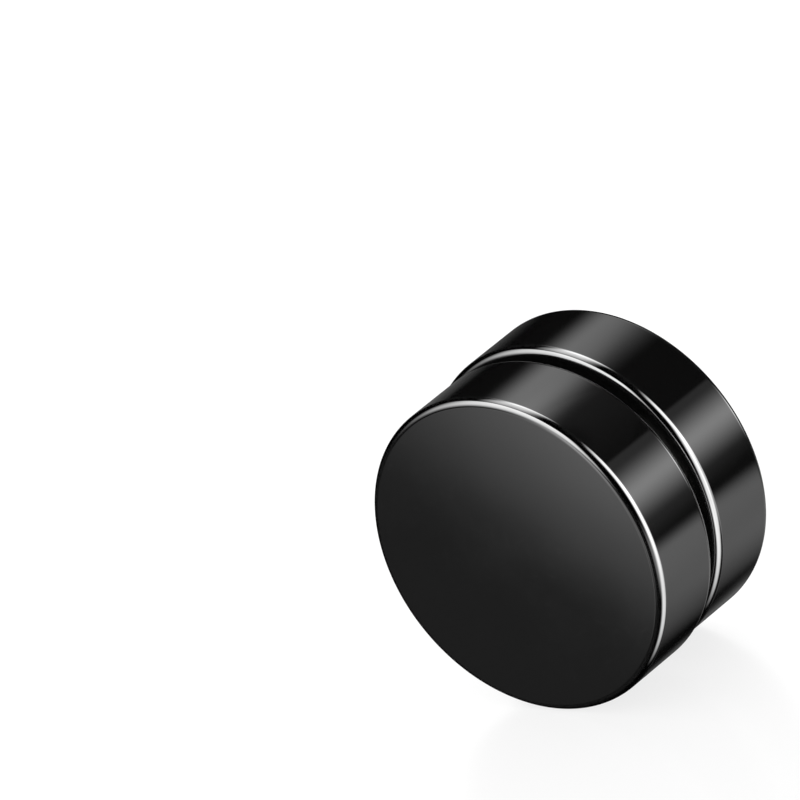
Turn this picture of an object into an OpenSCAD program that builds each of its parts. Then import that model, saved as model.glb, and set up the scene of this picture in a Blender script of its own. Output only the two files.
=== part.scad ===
// Magnetic stud earring, closed, lying on the curved side of its two discs.
//
// Each half is a steel cap, a round cup with rounded edges, and a disc
// magnet set into the pocket on its mating side. The magnets stand a little
// proud of the caps, so they meet first and leave a dark groove between the
// two rims. Worn, the earlobe sits between the halves.
//
// The origin is on the surface below the middle of the closed pair. The
// front face looks along -Y, and +Z is up.

/* [Caps] */
// Outside diameter of each cap
cap_d = 8; // [7:0.5:12]
// Thickness of each cap, from its outer face to its rim
cap_t = 2.15; // [2.05:0.05:3]
// Radius of the rounded edges of each cap
edge_r = 0.2; // [0.1:0.05:0.3]

/* [Magnets] */
// Diameter of each magnet
magnet_d = 6; // [4:0.5:6.5]
// Thickness of each magnet
magnet_t = 1.5; // [1:0.1:1.6]
// Radius of the rounded edges of each magnet
magnet_edge_r = 0.1; // [0.05:0.05:0.2]

/* [Fit of a magnet in its pocket] */
// Gap around a magnet
pocket_side_gap = 0.05; // [0.02:0.01:0.1]
// Gap behind a magnet, filled by a film of glue on the real part
pocket_floor_gap = 0.02; // [0.01:0.01:0.1]
// Width and depth of the bevel around the pocket's mouth
pocket_bevel = 0.1; // [0.05:0.05:0.2]

/* [Closed pair] */
// Distance between the two rims
rim_gap = 0.5; // [0.2:0.05:0.8]
// Air between the two magnets
magnet_air = 0.04; // [0.02:0.01:0.1]
// How far the halves stand out of line, sideways
side_offset = 0.2; // [0:0.05:0.5]

/* [Hidden] */
$fn = 96;

cap_r = cap_d / 2;
magnet_r = magnet_d / 2;
pair_l = 2 * cap_t + rim_gap;

// how far a magnet stands out of its cap
magnet_proud = (rim_gap - magnet_air) / 2;
pocket_r = magnet_r + pocket_side_gap;
pocket_depth = magnet_t - magnet_proud + pocket_floor_gap;

// cutters run past the surface that they open
overcut = 1;

// half the section of a disc of radius r and thickness t, with its corners
// rounded to radius edge, standing on y = 0
module disc_section(r, t, edge) {
    square([r - edge, t]);
    translate([0, edge])
        square([r, t - 2 * edge]);
    for (y = [edge, t - edge])
        translate([r - edge, y])
            circle(r = edge);
}

// half the section of a magnet's pocket, whose mouth is at y = cap_t
module pocket_section() {
    translate([0, cap_t - pocket_depth])
        square([pocket_r, pocket_depth + overcut]);
    polygon([
        [0, cap_t - pocket_bevel],
        [pocket_r, cap_t - pocket_bevel],
        [pocket_r + pocket_bevel, cap_t],
        [pocket_r + pocket_bevel, cap_t + overcut],
        [0, cap_t + overcut],
    ]);
}

// a cap with its outer face on z = 0 and its pocket open towards +Z
module cap() {
    rotate_extrude()
        difference() {
            disc_section(cap_r, cap_t, edge_r);
            pocket_section();
        }
}

// a magnet where it sits in the cap above
module magnet() {
    translate([0, 0, cap_t - pocket_depth + pocket_floor_gap])
        rotate_extrude()
            disc_section(magnet_r, magnet_t, magnet_edge_r);
}

// turns a half so that its outer face looks along -Y and its +X is up, and
// stands it on the surface
module front_place() {
    translate([side_offset / 2, -pair_l / 2, cap_r])
        rotate([-90, -90, 0])
            children();
}

// turns a half so that its outer face looks along +Y and its +X is up, and
// stands it on the surface
module back_place() {
    translate([-side_offset / 2, pair_l / 2, cap_r])
        rotate([90, -90, 0])
            children();
}

module front_cap() {
    color([0.05, 0.05, 0.055])
        front_place()
            cap();
}

module front_magnet() {
    color([0.72, 0.71, 0.68])
        front_place()
            magnet();
}

module back_cap() {
    color([0.05, 0.05, 0.055])
        back_place()
            cap();
}

module back_magnet() {
    color([0.72, 0.71, 0.68])
        back_place()
            magnet();
}

front_cap();
front_magnet();
back_cap();
back_magnet();
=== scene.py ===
# A magnetic stud earring in mirror-polished steel with black plating, closed and lying
# on a white table.
#
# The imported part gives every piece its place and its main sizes. Each cap and magnet is
# turned here again on the same profile with far finer steps, because a mirror finish
# shows every facet, and rides on the same body as the solid that it stands for.
#
# Lengths are in millimetres up to the point where a mesh or the camera is made. A turn is
# an angle in degrees about the earring's axis, the Y axis, from +X towards +Z.

import math
from collections import namedtuple

import bmesh
import bpy
from mathutils import Matrix, Vector


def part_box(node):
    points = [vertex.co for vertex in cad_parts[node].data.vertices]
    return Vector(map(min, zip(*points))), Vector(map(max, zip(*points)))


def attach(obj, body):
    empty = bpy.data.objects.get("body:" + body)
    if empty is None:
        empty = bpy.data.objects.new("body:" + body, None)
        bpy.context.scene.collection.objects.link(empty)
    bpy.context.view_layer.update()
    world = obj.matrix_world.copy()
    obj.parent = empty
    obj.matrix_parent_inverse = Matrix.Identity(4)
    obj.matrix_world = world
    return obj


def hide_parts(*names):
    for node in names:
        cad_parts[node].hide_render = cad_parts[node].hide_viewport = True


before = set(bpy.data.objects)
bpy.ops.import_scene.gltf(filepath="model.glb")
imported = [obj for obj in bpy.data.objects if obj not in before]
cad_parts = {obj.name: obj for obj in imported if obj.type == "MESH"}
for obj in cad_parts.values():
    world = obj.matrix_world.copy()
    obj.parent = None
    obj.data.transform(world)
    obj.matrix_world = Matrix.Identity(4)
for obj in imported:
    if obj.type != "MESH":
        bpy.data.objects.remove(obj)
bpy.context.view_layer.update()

MM = 0.001

# The camera. The picture is square, and the earring's middle is seen off its centre.
PICTURE_SIZE = 800
MIDDLE_IN_PICTURE = (570.24, 509.15)
CAMERA_AZIMUTH = 40.48
CAMERA_ELEVATION = 22.9
CAMERA_ROLL = 14.78
CAMERA_DISTANCE = 285.0
PIXELS_PER_MM = 43.48
SENSOR_WIDTH = 36.0
CLIP_NEAR = 10
CLIP_FAR = 10000

# Turned shapes, as in the part's source
EDGE_RADIUS = 0.2
MAGNET_EDGE_RADIUS = 0.1
POCKET_SIDE_GAP = 0.05
POCKET_FLOOR_GAP = 0.02
POCKET_BEVEL = 0.1

# Steps round the axis and round an edge. A point with a smaller radius than ON_AXIS is on
# the axis.
TURNED_STEPS = 360
EDGE_STEPS = 16
ON_AXIS = 1e-9

# How the mark of a rounded edge falls off from its crest, towards the curved side and
# towards the flat one. Below 1 it stays broad.
CURVED_FALLOFF = 0.5
FLAT_FALLOFF = 1.5

# Colours. The plating is thin on the rounded edges, where the steel below shines through, and the
# lighter steel there also paints a highlight along them.
BLACK_PLATING = (0.06, 0.06, 0.06)
BLACK_METALLIC = 0.93
THIN_PLATING_AND_HIGHLIGHT = (0.44, 0.44, 0.44)
NICKEL = (0.74, 0.73, 0.70)
DULL_NICKEL = (0.68, 0.665, 0.635)
WHITE = (1.0, 1.0, 1.0)

# A polish. Its roughness drifts from the best patches to the worst ones, and a scratch adds
# to it. Patches and scratches are counted to a millimetre, and fewer scratches show as the
# threshold rises.
Polish = namedtuple("Polish", "best worst patches scratches threshold scratch_haze scratch_depth")

MIRROR_POLISH = Polish(
    best=0.04,
    worst=0.075,
    patches=0.5,
    scratches=14.0,
    threshold=0.68,
    scratch_haze=0.03,
    scratch_depth=0.00002,
)
PLATED_SKIN = Polish(
    best=0.18,
    worst=0.21,
    patches=1.2,
    scratches=12.0,
    threshold=0.66,
    scratch_haze=0.06,
    scratch_depth=0.0001,
)

# Hairlines lie in three directions, given as turns in radians, and are drawn out along them.
# Each direction's pattern is shifted against the one before.
HAIRLINE_LEANS = ((0.0, 0.4, 0.2), (0.3, 1.6, 0.0), (0.0, 2.7, -0.2))
HAIRLINE_SHIFT = 3.1
HAIRLINE_STRETCH = 25.0
HAIRLINE_SHARPNESS = 12.0

# The black plating's own marks. Patterns are counted to a millimetre, and LEAST_WORN is the share of
# the thinning, with its painted edge highlight, that the least worn edges show.
WEAR_PER_MM = 1.1
LEAST_WORN = 0.85
TOOL_RINGS_PER_MM = 24.0
TOOL_RING_DEPTH = 0.0012
TOOL_RING_HAZE = 0.14
WAVES_PER_MM = 0.3
WAVE_DEPTH = 0.003

# The nickel's own marks
MOTTLE_PER_MM = 1.8
ORANGE_PEEL_PER_MM = 7.0
ORANGE_PEEL_DEPTH = 0.0015

# The studio. DARK_STUDIO is what the polished surfaces mirror where no softbox is.
DARK_STUDIO = 0.001
TABLE_GLOW = 0.8
TABLE_ALBEDO = 0.2
TABLE_ROUGHNESS = 0.25
TABLE_SPECULAR = 0.35
TABLE_SIDE = 3000
SURROUND_RADIUS = 1400
SURROUND_SEGMENTS = 32

# A softbox stands at a turn and a tilt from +Y, at a distance from the earring's middle,
# and faces it. Its height runs away from +Y before it is rolled. The light fades in over a
# share of the width from its left and right sides, and of the height from its low and high
# sides.
Softbox = namedtuple("Softbox", "turn tilt distance width height roll strength fades")

SOFTBOXES = {
    "right_low": Softbox(-58, 48, 65, 87, 26, 4, 1.5, (0.95, 0.2, 0.25, 0.55)),
    "right_high": Softbox(18, 54, 79, 43, 100, -10, 3.2, (0.6, 0.55, 0.1, 0.6)),
    "top_rear": Softbox(106, 51, 72, 53, 66, 32, 2, (0.8, 0.4, 0.4, 0.3)),
    "right_strip": Softbox(9, 81, 47, 112, 50, 4, 3.2, (0.75, 0.25, 0.05, 0.55)),
    "overhead": Softbox(104, 90, 58, 45, 117, -8, 3.1, (0.35, 0.45, 0.15, 0.95)),
    "front_left": Softbox(138, 142, 69, 143, 79, -50, 2.2, (0.2, 0.55, 0.02, 0.5)),
    "face_panel": Softbox(-154, 153, 64, 30, 42, 24, 3.1, (0.65, 0.8, 0.15, 0.02)),
    "face_fill": Softbox(-147, 134, 60, 26, 26, 0, 0.14, (0.25, 0.25, 0.25, 0.25)),
    "right_near": Softbox(-21, 98, 9, 25, 8, -2, 2, (0.45, 0.3, 0.35, 0.35)),
    "right_high_dim": Softbox(15, 54, 59, 48, 50, -32, 0.3, (0.2, 0.05, 0.35, 0.02)),
    "upper_fill": Softbox(69, 53, 25, 30, 2, 2, 0.13, (0.9, 0.1, 0.05, 0.2)),
    "left_rear": Softbox(190, 51, 42, 18, 27, 78, 0.17, (0.55, 0.4, 0.2, 0.2)),
    "rear_glow": Softbox(-95, 26, 60, 80, 44, 0, 0.3, (0.35, 0.35, 0.45, 0.2)),
    "front_glow": Softbox(-24, 126, 60, 50, 44, 0, 0.35, (0.4, 0.4, 0.4, 0.5)),
    "front_low": Softbox(-115, 163, 45, 18, 28, 0, 0.6, (0.25, 0.45, 0.45, 0.55)),
}


def node_middle(node):
    """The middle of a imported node's box, in millimetres."""
    low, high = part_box(node)
    return (low + high) / 2 / MM


def node_size(node):
    """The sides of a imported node's box, in millimetres."""
    low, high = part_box(node)
    return (high - low) / MM


# Turned pieces. A profile is a list of runs, and each run is a list of points in the half
# plane through the axis. A run is smooth, and two runs meet at a crisp edge unless their
# normals agree. depth counts inwards from the outer face, normal points out of the piece,
# crest is 1 in the middle of a rounded edge, and mating is 1 on the flats that face the
# other half.
ProfilePoint = namedtuple("ProfilePoint", "radius depth normal crest mating")


def straight(start, end):
    """A straight run. Its outward side is on the right of its direction."""
    along = (Vector(end) - Vector(start)).normalized()
    normal = (along.y, -along.x)
    mating = 1.0 if normal[1] > 0.5 else 0.0
    return [ProfilePoint(*place, normal, 0.0, mating) for place in (start, end)]


def rounded(middle, radius, first, last):
    """A quarter-round run. Angles are in degrees, 0 outwards and -90 towards the outer face."""
    run = []
    for step in range(EDGE_STEPS + 1):
        angle = math.radians(first + (last - first) * step / EDGE_STEPS)
        normal = (math.cos(angle), math.sin(angle))
        place = (middle[0] + radius * normal[0], middle[1] + radius * normal[1])
        falloff = CURVED_FALLOFF if normal[0] > abs(normal[1]) else FLAT_FALLOFF
        crest = abs(math.sin(2 * angle)) ** falloff
        run.append(ProfilePoint(*place, normal, crest, 0.0))
    return run


def disc_profile(radius, thickness, edge):
    """The outside of a disc with rounded edges, from its outer face's middle to its inner face."""
    return [
        straight((0.0, 0.0), (radius - edge, 0.0)),
        rounded((radius - edge, edge), edge, -90, 0),
        straight((radius, edge), (radius, thickness - edge)),
        rounded((radius - edge, thickness - edge), edge, 0, 90),
    ]


def cap_profile(radius, thickness, pocket_radius, pocket_floor):
    """A cap: a disc whose inner side has a pocket with a bevelled mouth."""
    mouth = pocket_radius + POCKET_BEVEL
    bevel_foot = thickness - POCKET_BEVEL
    return disc_profile(radius, thickness, EDGE_RADIUS) + [
        straight((radius - EDGE_RADIUS, thickness), (mouth, thickness)),
        straight((mouth, thickness), (pocket_radius, bevel_foot)),
        straight((pocket_radius, bevel_foot), (pocket_radius, pocket_floor)),
        straight((pocket_radius, pocket_floor), (0.0, pocket_floor)),
    ]


def magnet_profile(radius, thickness):
    """A magnet: a disc with two flat faces."""
    return disc_profile(radius, thickness, MAGNET_EDGE_RADIUS) + [
        straight((radius - MAGNET_EDGE_RADIUS, thickness), (0.0, thickness)),
    ]


def turned_piece(name, profile, middle, outer_face, inwards, material):
    """Turns a profile about the Y direction through middle. inwards is +1 or -1, the way
    along Y that depth counts. Each corner of a face keeps the marks that the finishes ask
    for: how near it is to an edge's crest, its distance from the axis, and the mating side."""
    turns = [2 * math.pi * step / TURNED_STEPS for step in range(TURNED_STEPS)]
    around = [(math.cos(turn), math.sin(turn)) for turn in turns]
    places, faces, corners = [], [], []

    def add_ring(point):
        """Adds a point's places all round the axis, or one on it, and returns their numbers."""
        first = len(places)
        y = outer_face + inwards * point.depth
        if point.radius < ON_AXIS:
            places.append((middle.x, y, middle.z))
            return [first] * TURNED_STEPS
        places.extend(
            (middle.x + point.radius * c, y, middle.z + point.radius * s) for c, s in around
        )
        return list(range(first, first + TURNED_STEPS))

    near_ring = add_ring(profile[0][0])
    for run in profile:
        for near, far in zip(run, run[1:]):
            far_ring = add_ring(far)
            for step in range(TURNED_STEPS):
                after = (step + 1) % TURNED_STEPS
                # Keyed by place, so that a face which meets the axis is a triangle
                face = {
                    near_ring[step]: (near, step),
                    near_ring[after]: (near, after),
                    far_ring[after]: (far, after),
                    far_ring[step]: (far, step),
                }
                # Listed the other way round in the half that faces -Y, so that every face looks
                # outwards
                order = list(face)[::-inwards]
                faces.append(order)
                corners.extend(face[number] for number in order)
            near_ring = far_ring

    mesh = bpy.data.meshes.new(name)
    mesh.from_pydata([Vector(place) * MM for place in places], [], faces)
    mesh.polygons.foreach_set("use_smooth", [True] * len(faces))
    normals = []
    for point, step in corners:
        out, deep = point.normal
        normals.append((out * around[step][0], inwards * deep, out * around[step][1]))
    mesh.normals_split_custom_set(normals)
    marks = {
        "crest": [point.crest for point, _ in corners],
        "turned_radius": [point.radius for point, _ in corners],
        "mating_side": [point.mating for point, _ in corners],
    }
    for mark, values in marks.items():
        mesh.attributes.new(mark, "FLOAT", "CORNER").data.foreach_set("value", values)
    mesh.materials.append(material)
    mesh.update()
    piece = bpy.data.objects.new(name, mesh)
    bpy.context.scene.collection.objects.link(piece)
    return piece


def build_half(body, cap_node, magnet_node, inwards, steel, nickel):
    """Turns one half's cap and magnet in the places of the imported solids."""
    cap_middle, cap_size = node_middle(cap_node), node_size(cap_node)
    magnet_middle, magnet_size = node_middle(magnet_node), node_size(magnet_node)
    outer_face = cap_middle.y - inwards * cap_size.y / 2
    magnet_back = magnet_middle.y - inwards * magnet_size.y / 2
    pocket_floor = abs(magnet_back - outer_face) - POCKET_FLOOR_GAP
    pocket_radius = magnet_size.z / 2 + POCKET_SIDE_GAP
    profile = cap_profile(cap_size.z / 2, cap_size.y, pocket_radius, pocket_floor)
    cap = turned_piece(body + "_turned_cap", profile, cap_middle, outer_face, inwards, steel)
    profile = magnet_profile(magnet_size.z / 2, magnet_size.y)
    magnet = turned_piece(
        body + "_turned_magnet", profile, magnet_middle, magnet_back, inwards, nickel
    )
    for piece, node, slot in ((cap, cap_node, "black_steel"), (magnet, magnet_node, "nickel")):
        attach(piece, body)
        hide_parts(node)
    return [cap, magnet]


# Shader building


def rgba(colour):
    """A colour as a socket takes it."""
    return (*colour, 1.0)


def add_node(tree, kind, place, settings=None, inputs=None):
    """Adds a node at a place in the editor. An input is given as a value, or as the socket
    that it is linked to."""
    node = tree.nodes.new(kind)
    node.location = place
    for name, value in (settings or {}).items():
        setattr(node, name, value)
    for name, value in (inputs or {}).items():
        if isinstance(value, bpy.types.NodeSocket):
            tree.links.new(value, node.inputs[name])
        else:
            node.inputs[name].default_value = value
    return node


def maths(tree, place, operation, *values, clamp=False):
    """The result of a calculation."""
    settings = {"operation": operation, "use_clamp": clamp}
    return add_node(tree, "ShaderNodeMath", place, settings, dict(enumerate(values))).outputs["Value"]


def noise(tree, place, vector, scale, detail, roughness=0.5):
    """Soft random patches, with values about 0.5."""
    return add_node(tree, "ShaderNodeTexNoise", place, inputs={
        "Vector": vector,
        "Scale": scale,
        "Detail": detail,
        "Roughness": roughness,
    }).outputs["Fac"]


def remap(tree, place, value, old, new=(0.0, 1.0), smooth=False):
    """Stretches a range of values over another one, and stops at its ends."""
    settings = {"interpolation_type": "SMOOTHSTEP" if smooth else "LINEAR"}
    return add_node(tree, "ShaderNodeMapRange", place, settings, {
        "Value": value,
        "From Min": old[0],
        "From Max": old[1],
        "To Min": new[0],
        "To Max": new[1],
    }).outputs["Result"]


def mix_colours(tree, place, share, first, second):
    """A colour that turns from the first to the second as the share rises."""
    node = add_node(tree, "ShaderNodeMix", place, {"data_type": "RGBA"})
    sockets = {socket.identifier: socket for socket in (*node.inputs, *node.outputs)}
    tree.links.new(share, sockets["Factor_Float"])
    sockets["A_Color"].default_value = rgba(first)
    sockets["B_Color"].default_value = rgba(second)
    return sockets["Result_Color"]


def bump(tree, place, height, depth, normal=None):
    """Adds relief. depth is in millimetres, the height of a full step from 0 to 1."""
    node = add_node(tree, "ShaderNodeBump", place, inputs={
        "Height": height,
        "Strength": 1.0,
        "Distance": depth * MM,
    })
    if normal is not None:
        tree.links.new(normal, node.inputs["Normal"])
    return node.outputs["Normal"]


def place_in_mm(tree):
    """The place on a piece in millimetres, which moves with the piece."""
    coordinates = add_node(tree, "ShaderNodeTexCoord", (-1500, 0))
    return add_node(tree, "ShaderNodeVectorMath", (-1300, 0), {"operation": "SCALE"}, {
        "Vector": coordinates.outputs["Object"],
        "Scale": 1 / MM,
    }).outputs["Vector"]


def marked(tree, mark, y):
    """The value of one of the marks that turned_piece leaves on the mesh."""
    node = add_node(tree, "ShaderNodeAttribute", (-1300, y), {"attribute_name": mark})
    return node.outputs["Fac"]


def new_group(name, inputs, outputs):
    """Makes an empty node group, and returns it with its input and output nodes."""
    group = bpy.data.node_groups.new(name, "ShaderNodeTree")
    for label, kind in inputs.items():
        group.interface.new_socket(label, in_out="INPUT", socket_type=kind)
    for label, kind in outputs.items():
        group.interface.new_socket(label, in_out="OUTPUT", socket_type=kind)
    start = add_node(group, "NodeGroupInput", (-900, 0))
    end = add_node(group, "NodeGroupOutput", (700, 0))
    return group, start, end


def polish_haze_group():
    """Roughness that drifts between the best and the worst polished patches."""
    group, start, end = new_group(
        "polish_haze",
        {
            "Vector": "NodeSocketVector",
            "Patches per mm": "NodeSocketFloat",
            "Best": "NodeSocketFloat",
            "Worst": "NodeSocketFloat",
        },
        {"Roughness": "NodeSocketFloat"},
    )
    vector, per_mm = start.outputs["Vector"], start.outputs["Patches per mm"]
    patches = noise(group, (-500, 0), vector, per_mm, detail=4.0, roughness=0.6)
    best_to_worst = (start.outputs["Best"], start.outputs["Worst"])
    drift = remap(group, (0, 0), patches, old=(0.35, 0.65), new=best_to_worst)
    group.links.new(drift, end.inputs["Roughness"])
    return group


def hairlines_group():
    """A mask of fine scratches in three directions. Fewer show as the threshold rises."""
    group, start, end = new_group(
        "hairlines",
        {
            "Vector": "NodeSocketVector",
            "Lines per mm": "NodeSocketFloat",
            "Threshold": "NodeSocketFloat",
        },
        {"Mask": "NodeSocketFloat"},
    )
    mask = 0.0
    for row, lean in enumerate(HAIRLINE_LEANS):
        y = 300 - 300 * row
        stretched = add_node(group, "ShaderNodeMapping", (-700, y), {"vector_type": "TEXTURE"}, {
            "Vector": start.outputs["Vector"],
            "Location": (HAIRLINE_SHIFT * row, 0.0, 0.0),
            "Rotation": lean,
            "Scale": (HAIRLINE_STRETCH, 1.0, 1.0),
        })
        vector, per_mm = stretched.outputs["Vector"], start.outputs["Lines per mm"]
        lines = noise(group, (-450, y), vector, per_mm, detail=1.0)
        above = maths(group, (-200, y), "SUBTRACT", lines, start.outputs["Threshold"])
        clear = maths(group, (0, y), "MULTIPLY", above, HAIRLINE_SHARPNESS, clamp=True)
        mask = maths(group, (300, y), "MAXIMUM", mask, clear)
    group.links.new(mask, end.inputs["Mask"])
    return group


def new_material(name):
    """A material with its own Principled shader, linked to the output."""
    material = bpy.data.materials.new(name)
    material.use_nodes = True
    tree = material.node_tree
    tree.nodes.clear()
    shader = add_node(tree, "ShaderNodeBsdfPrincipled", (600, 0))
    add_node(tree, "ShaderNodeOutputMaterial", (900, 0), inputs={"Surface": shader.outputs["BSDF"]})
    return material, tree, shader


def polished(tree, vector, polish, haze_group, lines_group):
    """The roughness and the scratches of a polish."""
    haze = add_node(tree, "ShaderNodeGroup", (-1000, 200), {"node_tree": haze_group}, {
        "Vector": vector,
        "Patches per mm": polish.patches,
        "Best": polish.best,
        "Worst": polish.worst,
    })
    scratches = add_node(tree, "ShaderNodeGroup", (-1000, 0), {"node_tree": lines_group}, {
        "Vector": vector,
        "Lines per mm": polish.scratches,
        "Threshold": polish.threshold,
    }).outputs["Mask"]
    roughness = maths(
        tree, (-700, 100), "MULTIPLY_ADD", scratches, polish.scratch_haze, haze.outputs["Roughness"]
    )
    return roughness, scratches


def black_steel_material(haze_group, lines_group):
    """Black plating over mirror-polished steel. It is thin on the rounded edges, whose lighter steel
    also paints a highlight along them, and the mating side keeps the fine rings of the cutting tool."""
    material, tree, shader = new_material("black_steel")
    vector = place_in_mm(tree)
    crest = marked(tree, "crest", -400)
    mating = marked(tree, "mating_side", -600)
    radius = marked(tree, "turned_radius", -800)

    # The rounded edges turn to lighter steel: thin plating, and a painted highlight that draws bright
    # lines along the rims.
    wear = noise(tree, (-1000, 500), vector, WEAR_PER_MM, detail=3.0)
    worn = remap(tree, (-800, 500), wear, old=(0.3, 0.7), new=(1.0, LEAST_WORN))
    thin_and_highlight = maths(tree, (-600, 500), "MULTIPLY", worn, crest)
    colour = mix_colours(tree, (-400, 500), thin_and_highlight, BLACK_PLATING, THIN_PLATING_AND_HIGHLIGHT)
    tree.links.new(colour, shader.inputs["Base Color"])

    roughness, scratches = polished(tree, vector, MIRROR_POLISH, haze_group, lines_group)
    roughness = maths(tree, (-400, 100), "MULTIPLY_ADD", mating, TOOL_RING_HAZE, roughness)
    tree.links.new(roughness, shader.inputs["Roughness"])

    metal = maths(tree, (-400, -200), "MULTIPLY_ADD", crest, 1.0 - BLACK_METALLIC, BLACK_METALLIC)
    tree.links.new(metal, shader.inputs["Metallic"])

    waves = noise(tree, (-1000, -500), vector, WAVES_PER_MM, detail=1.0)
    rings = add_node(tree, "ShaderNodeTexNoise", (-1000, -800), {"noise_dimensions": "1D"}, {
        "W": radius,
        "Scale": TOOL_RINGS_PER_MM,
        "Detail": 2.0,
    }).outputs["Fac"]
    mating_rings = maths(tree, (-700, -800), "MULTIPLY", rings, mating)
    normal = bump(tree, (-400, -500), waves, WAVE_DEPTH)
    normal = bump(tree, (-200, -600), scratches, MIRROR_POLISH.scratch_depth, normal)
    normal = bump(tree, (0, -700), mating_rings, TOOL_RING_DEPTH, normal)
    tree.links.new(normal, shader.inputs["Normal"])
    return material


def nickel_material(haze_group, lines_group):
    """Bright nickel plating on a sintered magnet, slightly mottled, with a fine skin like
    orange peel and a duller rim."""
    material, tree, shader = new_material("nickel")
    vector = place_in_mm(tree)
    crest = marked(tree, "crest", -400)

    mottle = noise(tree, (-1000, 500), vector, MOTTLE_PER_MM, detail=5.0)
    dulled = remap(tree, (-800, 500), mottle, old=(0.4, 0.7))
    dulled = maths(tree, (-600, 500), "MAXIMUM", dulled, crest)
    colour = mix_colours(tree, (-400, 500), dulled, NICKEL, DULL_NICKEL)
    tree.links.new(colour, shader.inputs["Base Color"])

    roughness, scratches = polished(tree, vector, PLATED_SKIN, haze_group, lines_group)
    tree.links.new(roughness, shader.inputs["Roughness"])
    shader.inputs["Metallic"].default_value = 1.0

    peel = noise(tree, (-1000, -500), vector, ORANGE_PEEL_PER_MM, detail=2.0)
    normal = bump(tree, (-400, -500), peel, ORANGE_PEEL_DEPTH)
    normal = bump(tree, (-200, -600), scratches, PLATED_SKIN.scratch_depth, normal)
    tree.links.new(normal, shader.inputs["Normal"])
    return material


# The studio


def hide_from(item, *rays):
    """Makes a stage object invisible to some kinds of ray."""
    for ray in rays:
        setattr(item, "visible_" + ray, False)


def stage_object(name, mesh, material):
    """Puts a mesh in the scene that isn't part of the earring."""
    mesh.materials.append(material)
    item = bpy.data.objects.new(name, mesh)
    bpy.context.scene.collection.objects.link(item)
    return item


def flat_card(name, width, height, material):
    """A rectangle in its own XY plane."""
    mesh = bpy.data.meshes.new(name)
    corners = [(-0.5, -0.5), (0.5, -0.5), (0.5, 0.5), (-0.5, 0.5)]
    places = [(x * width * MM, y * height * MM, 0.0) for x, y in corners]
    mesh.from_pydata(places, [], [(0, 1, 2, 3)])
    return stage_object(name, mesh, material)


def clear_light_material(name, strength):
    """A light that hides nothing behind it. Returns the material, its tree and its light."""
    material = bpy.data.materials.new(name)
    material.use_nodes = True
    tree = material.node_tree
    tree.nodes.clear()
    light = add_node(tree, "ShaderNodeEmission", (300, 100), inputs={"Strength": strength})
    clear = add_node(tree, "ShaderNodeBsdfTransparent", (300, -100))
    both = add_node(tree, "ShaderNodeAddShader", (500, 0), inputs={
        0: light.outputs["Emission"],
        1: clear.outputs["BSDF"],
    })
    add_node(tree, "ShaderNodeOutputMaterial", (700, 0), inputs={"Surface": both.outputs["Shader"]})
    return material, tree, light


def softbox_material(name, strength, fades):
    """Light that fades in from each side of a card."""
    material, tree, light = clear_light_material(name, strength)
    coordinates = add_node(tree, "ShaderNodeTexCoord", (-700, 0))
    sides = add_node(tree, "ShaderNodeSeparateXYZ", (-500, 0), inputs={
        "Vector": coordinates.outputs["Generated"],
    })
    left, right, low, high = fades
    edges = (
        ("X", (0.0, left)),
        ("X", (1.0, 1.0 - right)),
        ("Y", (0.0, low)),
        ("Y", (1.0, 1.0 - high)),
    )
    level = strength
    for row, (axis, fade) in enumerate(edges):
        y = 400 - 260 * row
        share = remap(tree, (-300, y), sides.outputs[axis], old=fade, smooth=True)
        level = maths(tree, (0, y), "MULTIPLY", level, share)
    tree.links.new(level, light.inputs["Strength"])
    return material


def shine_only_on(light, pieces):
    """Keeps a light off everything but some pieces."""
    lit = bpy.data.collections.new("lit_by_" + light.name)
    for piece in pieces:
        lit.objects.link(piece)
    light.light_linking.receiver_collection = lit
    hide_from(light, "camera", "diffuse", "transmission", "volume_scatter", "shadow")


def build_softbox(name, box, target, pieces):
    """Stands a softbox round the earring. Only the polished pieces mirror it."""
    turn, tilt = math.radians(box.turn), math.radians(box.tilt)
    outwards = Vector((
        math.sin(tilt) * math.cos(turn),
        math.cos(tilt),
        math.sin(tilt) * math.sin(turn),
    ))
    away = Vector((0.0, -1.0, 0.0))
    upward = (away - outwards * away.dot(outwards)).normalized()
    across = upward.cross(outwards)
    card = flat_card(name, box.width, box.height, softbox_material(name, box.strength, box.fades))
    stance = Matrix((across, upward, outwards)).transposed().to_4x4()
    roll = Matrix.Rotation(math.radians(box.roll), 4, "Z")
    place = Matrix.Translation((target + outwards * box.distance) * MM)
    card.matrix_world = place @ stance @ roll
    shine_only_on(card, pieces)


def build_table():
    """A white, faintly glossy table top without an edge in sight. The earring doesn't mirror
    it. A white surround lights the table alone, so that the earring shows in its gloss."""
    material, tree, shader = new_material("white_table")
    shader.inputs["Base Color"].default_value = rgba((TABLE_ALBEDO,) * 3)
    shader.inputs["Roughness"].default_value = TABLE_ROUGHNESS
    shader.inputs["Specular IOR Level"].default_value = TABLE_SPECULAR
    shader.inputs["Emission Color"].default_value = rgba(WHITE)
    shader.inputs["Emission Strength"].default_value = TABLE_GLOW
    table = flat_card("table_top", TABLE_SIDE, TABLE_SIDE, material)
    hide_from(table, "glossy")

    mesh = bpy.data.meshes.new("white_surround")
    shape = bmesh.new()
    bmesh.ops.create_uvsphere(
        shape,
        u_segments=SURROUND_SEGMENTS,
        v_segments=SURROUND_SEGMENTS // 2,
        radius=SURROUND_RADIUS * MM,
    )
    shape.to_mesh(mesh)
    shape.free()
    surround = stage_object("white_surround", mesh, clear_light_material("white_surround", 1.0)[0])
    shine_only_on(surround, [table])


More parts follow.
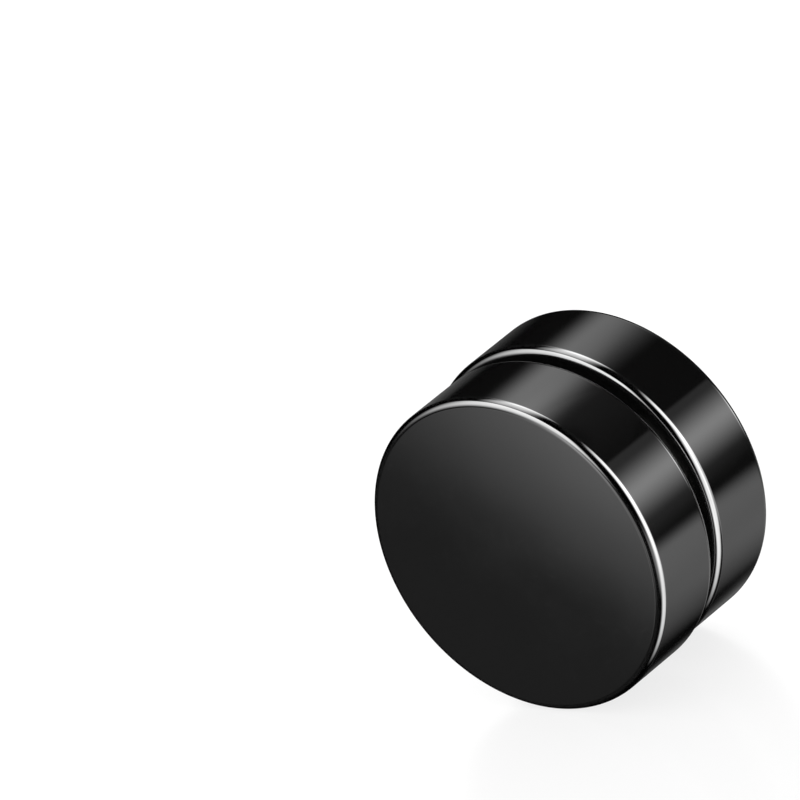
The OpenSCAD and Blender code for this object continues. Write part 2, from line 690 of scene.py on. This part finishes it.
def build_world():
    """White behind the table and above it, dark where the polished surfaces mirror it."""
    world = bpy.data.worlds.new("studio")
    bpy.context.scene.world = world
    world.use_nodes = True
    world.cycles.sampling_method = "NONE"
    tree = world.node_tree
    tree.nodes.clear()
    glossy = add_node(tree, "ShaderNodeLightPath", (-300, 0)).outputs["Is Glossy Ray"]
    strength = remap(tree, (0, 0), glossy, old=(0.0, 1.0), new=(1.0, DARK_STUDIO))
    background = add_node(tree, "ShaderNodeBackground", (300, 0), inputs={
        "Color": rgba(WHITE),
        "Strength": strength,
    }).outputs["Background"]
    add_node(tree, "ShaderNodeOutputWorld", (600, 0), inputs={"Surface": background})


def build_camera(target):
    """Aims the camera so that the earring's middle is seen where the picture has it."""
    azimuth, elevation, roll = (
        math.radians(angle) for angle in (CAMERA_AZIMUTH, CAMERA_ELEVATION, CAMERA_ROLL)
    )
    to_camera = Vector((
        math.sin(azimuth) * math.cos(elevation),
        -math.cos(azimuth) * math.cos(elevation),
        math.sin(elevation),
    ))
    level_right = Vector((math.cos(azimuth), math.sin(azimuth), 0.0))
    level_up = to_camera.cross(level_right)
    right = level_right * math.cos(roll) - level_up * math.sin(roll)
    up = level_right * math.sin(roll) + level_up * math.cos(roll)
    focal_pixels = PIXELS_PER_MM * CAMERA_DISTANCE
    across = (MIDDLE_IN_PICTURE[0] - PICTURE_SIZE / 2) / focal_pixels
    upward = (PICTURE_SIZE / 2 - MIDDLE_IN_PICTURE[1]) / focal_pixels
    backwards = (to_camera + right * across + up * upward).normalized()
    right = (right - backwards * right.dot(backwards)).normalized()
    up = backwards.cross(right)

    data = bpy.data.cameras.new("camera")
    data.sensor_width = SENSOR_WIDTH
    data.lens = focal_pixels / PICTURE_SIZE * SENSOR_WIDTH
    data.clip_start = CLIP_NEAR * MM
    data.clip_end = CLIP_FAR * MM
    camera = bpy.data.objects.new("camera", data)
    aim = Matrix((right, up, backwards)).transposed().to_4x4()
    camera.matrix_world = Matrix.Translation((target + to_camera * CAMERA_DISTANCE) * MM) @ aim
    bpy.context.scene.collection.objects.link(camera)
    bpy.context.scene.camera = camera


earring_middle = Vector((0.0, 0.0, node_middle("front_cap").z))
build_camera(earring_middle)

finish_groups = (polish_haze_group(), hairlines_group())
steel = black_steel_material(*finish_groups)
nickel = nickel_material(*finish_groups)
pieces = build_half("front", "front_cap", "front_magnet", 1, steel, nickel)
pieces += build_half("back", "back_cap", "back_magnet", -1, steel, nickel)

build_table()
build_world()
for name, box in SOFTBOXES.items():
    build_softbox(name, box, earring_middle, pieces)

view = bpy.context.scene.view_settings
view.view_transform = "Standard"
view.look = "None"
